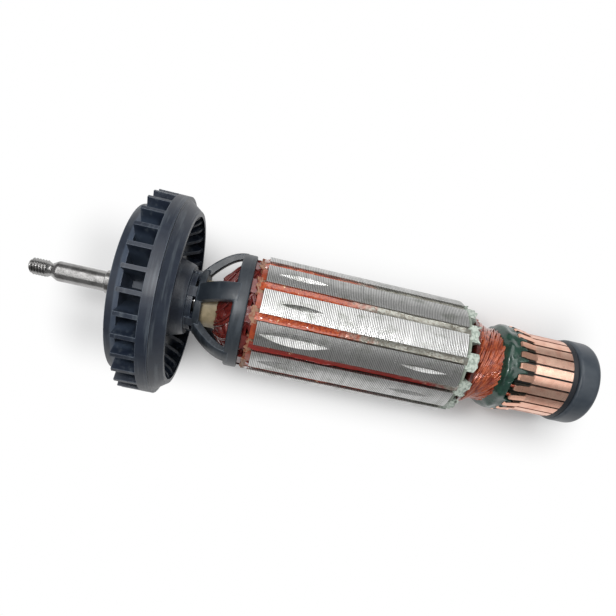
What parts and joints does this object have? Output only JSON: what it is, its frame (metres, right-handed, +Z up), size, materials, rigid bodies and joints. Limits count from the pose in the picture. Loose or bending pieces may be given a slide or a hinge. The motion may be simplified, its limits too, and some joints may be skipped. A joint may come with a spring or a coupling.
{
  "type": "motor armature",
  "caption": "Armature of a universal motor: steel shaft, shrouded radial fan, cage, wound slotted core, commutator and a rubber-cased rear ball bearing.",
  "frame": {"origin": "on the bench surface that the armature lies on, under the middle of its bounding box", "axes": "+X along the armature from the threaded drive end to the commutator, seen from above, +Z up; the shaft dips 7.01 degrees towards +X, because the fan is larger than the bearing boot"},
  "size_m": [0.1754, 0.0594, 0.0599],
  "materials": {
    "ground_steel": "ground, slightly stained",
    "fan_plastic": "moulded, semi-gloss blue-black",
    "cage_plastic": "moulded, satin slate black",
    "cream_insulation": "satin",
    "lamination_steel": "turned edges of stacked sheets",
    "varnished_board": "under orange-red varnish",
    "fibre_board": "pressed fibre",
    "insulating_paper": "calendered, pale green",
    "varnished_wedge": "orange-red varnish",
    "varnished_copper": "enamelled wire under deep red varnish",
    "copper_wire": "enamelled wire under clear varnish",
    "commutator_copper": "turned copper",
    "moulding_compound": "moulded phenolic",
    "bush_steel": "turned",
    "green_resin": "dripped resin, glossy",
    "spacer_plastic": "moulded",
    "bearing_steel": "ground",
    "shield_steel": "stamped",
    "boot_rubber": "moulded, slight sheen"
  },
  "bodies": {
    "rotor": {"shaft": "ground_steel", "fan": "fan_plastic", "fan_cage": "cage_plastic", "shaft_insulation_tube": "cream_insulation", "lamination_stack": "lamination_steel", "end_insulator_front": "varnished_board", "end_insulator_rear": "fibre_board", "slot_liner_01": "insulating_paper", "slot_liner_02": "insulating_paper", "slot_liner_03": "insulating_paper", "slot_liner_04": "insulating_paper", "slot_liner_05": "insulating_paper", "slot_liner_06": "insulating_paper", "slot_liner_07": "insulating_paper", "slot_liner_08": "insulating_paper", "slot_liner_09": "insulating_paper", "slot_liner_10": "insulating_paper", "slot_liner_11": "insulating_paper", "slot_liner_12": "insulating_paper", "slot_wedges": "varnished_wedge", "coils_front": "varnished_copper", "coils_rear": "copper_wire", "lead_wires": "copper_wire", "commutator_bar_01": "commutator_copper", "commutator_bar_02": "commutator_copper", "commutator_bar_03": "commutator_copper", "commutator_bar_04": "commutator_copper", "commutator_bar_05": "commutator_copper", "commutator_bar_06": "commutator_copper", "commutator_bar_07": "commutator_copper", "commutator_bar_08": "commutator_copper", "commutator_bar_09": "commutator_copper", "commutator_bar_10": "commutator_copper", "commutator_bar_11": "commutator_copper", "commutator_bar_12": "commutator_copper", "commutator_bar_13": "commutator_copper", "commutator_bar_14": "commutator_copper", "commutator_bar_15": "commutator_copper", "commutator_bar_16": "commutator_copper", "commutator_bar_17": "commutator_copper", "commutator_bar_18": "commutator_copper", "commutator_bar_19": "commutator_copper", "commutator_bar_20": "commutator_copper", "commutator_bar_21": "commutator_copper", "commutator_bar_22": "commutator_copper", "commutator_bar_23": "commutator_copper", "commutator_bar_24": "commutator_copper", "commutator_moulding": "moulding_compound", "commutator_bush": "bush_steel", "resin_bead": "green_resin", "insulating_spacer": "spacer_plastic", "bearing_inner_ring": "bearing_steel"},
    "boot_and_ring": {"bearing_ball_row": "bearing_steel", "bearing_outer_ring": "bearing_steel", "bearing_shield_front": "shield_steel", "bearing_shield_rear": "shield_steel", "bearing_boot": "boot_rubber"}
  },
  "joints": [
    {"name": "rear_bearing_spin", "type": "hinge", "parent": "rotor", "child": "boot_and_ring", "pos_m": [0.08245, 0, 0.0137], "axis": [0.9925, 0, -0.122], "continuous": true}
  ]
}
